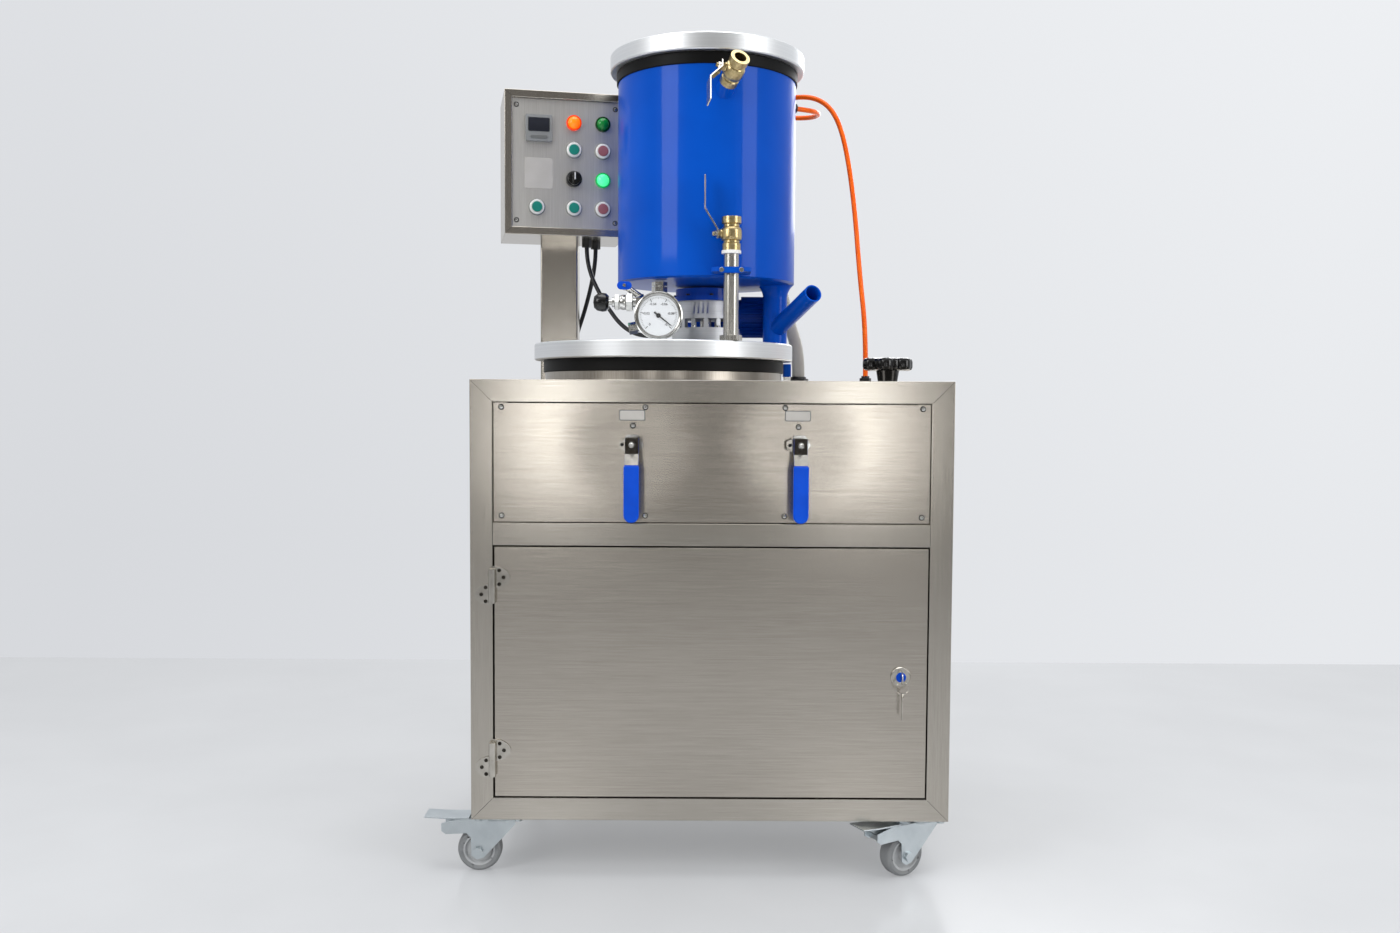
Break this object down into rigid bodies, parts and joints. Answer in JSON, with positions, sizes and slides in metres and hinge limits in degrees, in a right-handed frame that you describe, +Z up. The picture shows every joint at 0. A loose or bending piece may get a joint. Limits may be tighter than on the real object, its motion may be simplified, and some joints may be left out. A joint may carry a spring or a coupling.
{
  "type": "vacuum mixer",
  "caption": "Vacuum mixer on a wheeled stainless cabinet: sunk vessel with agitator, blue tank over it, gauge, valves, hoses and a control box on a post.",
  "frame": {"origin": "on the floor, under the middle of the cabinet", "axes": "+Z up, +X to the right of someone facing the door, the front faces -Y"},
  "size_m": [0.981, 0.614, 1.536],
  "materials": {
    "stainless_tube": "brushed along the tube",
    "stainless_sheet": "brushed, satin",
    "fascia_sheet": "satin",
    "machined_aluminium": "fine turned",
    "blue_paint": "gloss",
    "drive_blue_paint": "satin",
    "brass": "cast and turned, dull nickel tint",
    "bright_steel": "bright",
    "zinc_plate": "bright zinc",
    "blue_grip": "dipped vinyl",
    "grey_tyre": "matt",
    "black_rubber": "matt",
    "black_plastic": "satin",
    "grey_plastic": "satin",
    "white_plastic": "gloss",
    "teal_plastic": "gloss",
    "red_plastic": "gloss",
    "lamp_lens": "clear gloss",
    "pump_paint": "satin",
    "orange_hose": "satin",
    "braided_hose": "braided",
    "black_cable": "matt"
  },
  "bodies": {
    "machine": {"frame": "stainless_tube", "body_panels": "stainless_sheet", "deck": "stainless_sheet", "front_panel": "stainless_sheet", "front_valves": "bright_steel", "hinge_frame_leaves": "bright_steel", "castor_plates": "zinc_plate", "vessel": "stainless_sheet", "rubber_rings": "black_rubber", "vessel_lid": "machined_aluminium", "bearing_housing": "machined_aluminium", "gear_motor": "drive_blue_paint", "tank": "blue_paint", "riser_pipe": "stainless_sheet", "brass_valves": "brass", "gauge": "bright_steel", "gauge_manifold": "bright_steel", "control_post": "stainless_sheet", "control_box": "stainless_sheet", "control_fascia": "fascia_sheet", "display_unit": "grey_plastic", "button_collars": "white_plastic", "pilot_lamps": "lamp_lens", "vacuum_pump": "pump_paint", "hose_fittings": "black_plastic", "air_hose": "orange_hose", "vacuum_hose": "braided_hose", "power_cable": "black_cable", "motor_cable": "black_cable"},
    "door": {"door": "stainless_sheet", "hinge_door_leaves": "bright_steel", "lock_housing": "bright_steel"},
    "lock": {"lock_plug": "bright_steel", "door_key": "bright_steel"},
    "key_ring": {"key_ring": "bright_steel"},
    "left_valve_handle": {"left_valve_handle": "blue_grip"},
    "right_valve_handle": {"right_valve_handle": "blue_grip"},
    "agitator": {"agitator": "bright_steel"},
    "tank_lid": {"tank_lid": "machined_aluminium"},
    "outlet_lever": {"outlet_lever": "bright_steel"},
    "top_lever": {"top_lever": "bright_steel"},
    "relief_knob": {"relief_knob": "black_plastic"},
    "bleed_lever": {"bleed_lever": "blue_grip"},
    "handwheel": {"handwheel": "black_plastic"},
    "selector_knob": {"selector_knob": "black_plastic"},
    "castor_fork_fl": {"castor_fork_fl": "zinc_plate"},
    "castor_wheel_fl": {"castor_wheel_fl": "grey_tyre"},
    "brake_pedal_fl": {"brake_pedal_fl": "zinc_plate"},
    "castor_fork_fr": {"castor_fork_fr": "zinc_plate"},
    "castor_wheel_fr": {"castor_wheel_fr": "grey_tyre"},
    "brake_pedal_fr": {"brake_pedal_fr": "zinc_plate"},
    "castor_fork_rl": {"castor_fork_rl": "zinc_plate"},
    "castor_wheel_rl": {"castor_wheel_rl": "grey_tyre"},
    "castor_fork_rr": {"castor_fork_rr": "zinc_plate"},
    "castor_wheel_rr": {"castor_wheel_rr": "grey_tyre"},
    "start_button": {"start_button": "teal_plastic"},
    "stop_button": {"stop_button": "red_plastic"},
    "pump_button": {"pump_button": "teal_plastic"},
    "mixer_button": {"mixer_button": "teal_plastic"},
    "reset_button": {"reset_button": "red_plastic"}
  },
  "joints": [
    {"name": "door_hinge", "type": "hinge", "parent": "machine", "child": "door", "pos_m": [-0.39, -0.292, 0.408], "axis": [0, 0, -1], "range_deg": [0, 110]},
    {"name": "lock_turn", "type": "hinge", "parent": "door", "child": "lock", "pos_m": [0.34, -0.284, 0.372], "axis": [0, 1, 0], "range_deg": [0, 90]},
    {"name": "key_ring_swing", "type": "hinge", "parent": "lock", "child": "key_ring", "pos_m": [0.34, -0.3055, 0.36867], "axis": [1, 0, 0], "range_deg": [-60, 10]},
    {"name": "left_valve_turn", "type": "hinge", "parent": "machine", "child": "left_valve_handle", "pos_m": [-0.141, -0.285, 0.786], "axis": [0, 1, 0], "range_deg": [0, 90]},
    {"name": "right_valve_turn", "type": "hinge", "parent": "machine", "child": "right_valve_handle", "pos_m": [0.155, -0.285, 0.786], "axis": [0, 1, 0], "range_deg": [0, 90]},
    {"name": "agitator_spin", "type": "hinge", "parent": "machine", "child": "agitator", "pos_m": [-0.011, 0, 0.974], "axis": [0, 0, 1], "continuous": true},
    {"name": "tank_lid_lift", "type": "slide", "parent": "machine", "child": "tank_lid", "axis": [0, 0, 1], "range_m": [0, 0.25]},
    {"name": "outlet_lever_turn", "type": "hinge", "parent": "machine", "child": "outlet_lever", "pos_m": [0.034, -0.2, 1.1685], "axis": [1, 0, 0], "range_deg": [0, 90]},
    {"name": "top_lever_turn", "type": "hinge", "parent": "machine", "child": "top_lever", "pos_m": [0.03682, -0.20499, 1.46198], "axis": [-0.9402, -0.276, 0.1998], "range_deg": [0, 90]},
    {"name": "relief_knob_turn", "type": "hinge", "parent": "machine", "child": "relief_knob", "pos_m": [-0.196, -0.112, 1.05], "axis": [-1, 0, 0], "range_deg": [0, 720]},
    {"name": "bleed_lever_turn", "type": "hinge", "parent": "machine", "child": "bleed_lever", "pos_m": [-0.166, -0.112, 1.081], "axis": [0, -1, 0], "range_deg": [0, 90]},
    {"name": "handwheel_turn", "type": "hinge", "parent": "machine", "child": "handwheel", "pos_m": [0.335, -0.12, 0.9], "axis": [0, 0, 1], "range_deg": [0, 720]},
    {"name": "selector_turn", "type": "hinge", "parent": "machine", "child": "selector_knob", "pos_m": [-0.28293, 0.08439, 1.316], "axis": [-0.2079, 0.9781, 0], "range_deg": [-45, 45]},
    {"name": "castor_swivel_fl", "type": "hinge", "parent": "machine", "child": "castor_fork_fl", "pos_m": [-0.384, -0.236, 0.0987], "axis": [0, 0, 1], "continuous": true},
    {"name": "castor_roll_fl", "type": "hinge", "parent": "castor_fork_fl", "child": "castor_wheel_fl", "pos_m": [-0.422, -0.236, 0.04], "axis": [0, -1, 0], "continuous": true},
    {"name": "brake_press_fl", "type": "hinge", "parent": "castor_fork_fl", "child": "brake_pedal_fl", "pos_m": [-0.456, -0.236, 0.0922], "axis": [0, -1, 0], "range_deg": [0, 8]},
    {"name": "castor_swivel_fr", "type": "hinge", "parent": "machine", "child": "castor_fork_fr", "pos_m": [0.384, -0.236, 0.0987], "axis": [0, 0, 1], "continuous": true},
    {"name": "castor_roll_fr", "type": "hinge", "parent": "castor_fork_fr", "child": "castor_wheel_fr", "pos_m": [0.35045, -0.25384, 0.04], "axis": [0.4695, -0.8829, 0], "continuous": true},
    {"name": "brake_press_fr", "type": "hinge", "parent": "castor_fork_fr", "child": "brake_pedal_fr", "pos_m": [0.32043, -0.2698, 0.0922], "axis": [0.4695, -0.8829, 0], "range_deg": [0, 8]},
    {"name": "castor_swivel_rl", "type": "hinge", "parent": "machine", "child": "castor_fork_rl", "pos_m": [-0.384, 0.236, 0.0987], "axis": [0, 0, 1], "continuous": true},
    {"name": "castor_roll_rl", "type": "hinge", "parent": "castor_fork_rl", "child": "castor_wheel_rl", "pos_m": [-0.42163, 0.24129, 0.04], "axis": [-0.1392, -0.9903, 0], "continuous": true},
    {"name": "castor_swivel_rr", "type": "hinge", "parent": "machine", "child": "castor_fork_rr", "pos_m": [0.384, 0.236, 0.0987], "axis": [0, 0, 1], "continuous": true},
    {"name": "castor_roll_rr", "type": "hinge", "parent": "castor_fork_rr", "child": "castor_wheel_rr", "pos_m": [0.41971, 0.249, 0.04], "axis": [-0.342, 0.9397, 0], "continuous": true},
    {"name": "start_button_press", "type": "slide", "parent": "machine", "child": "start_button", "axis": [-0.2079, 0.9781, 0], "range_m": [0, 0.0035], "stiffness_N_per_m": 300},
    {"name": "stop_button_press", "type": "slide", "parent": "machine", "child": "stop_button", "axis": [-0.2079, 0.9781, 0], "range_m": [0, 0.0035], "stiffness_N_per_m": 300},
    {"name": "pump_button_press", "type": "slide", "parent": "machine", "child": "pump_button", "axis": [-0.2079, 0.9781, 0], "range_m": [0, 0.0035], "stiffness_N_per_m": 300},
    {"name": "mixer_button_press", "type": "slide", "parent": "machine", "child": "mixer_button", "axis": [-0.2079, 0.9781, 0], "range_m": [0, 0.0035], "stiffness_N_per_m": 300},
    {"name": "reset_button_press", "type": "slide", "parent": "machine", "child": "reset_button", "axis": [-0.2079, 0.9781, 0], "range_m": [0, 0.0035], "stiffness_N_per_m": 300}
  ]
}
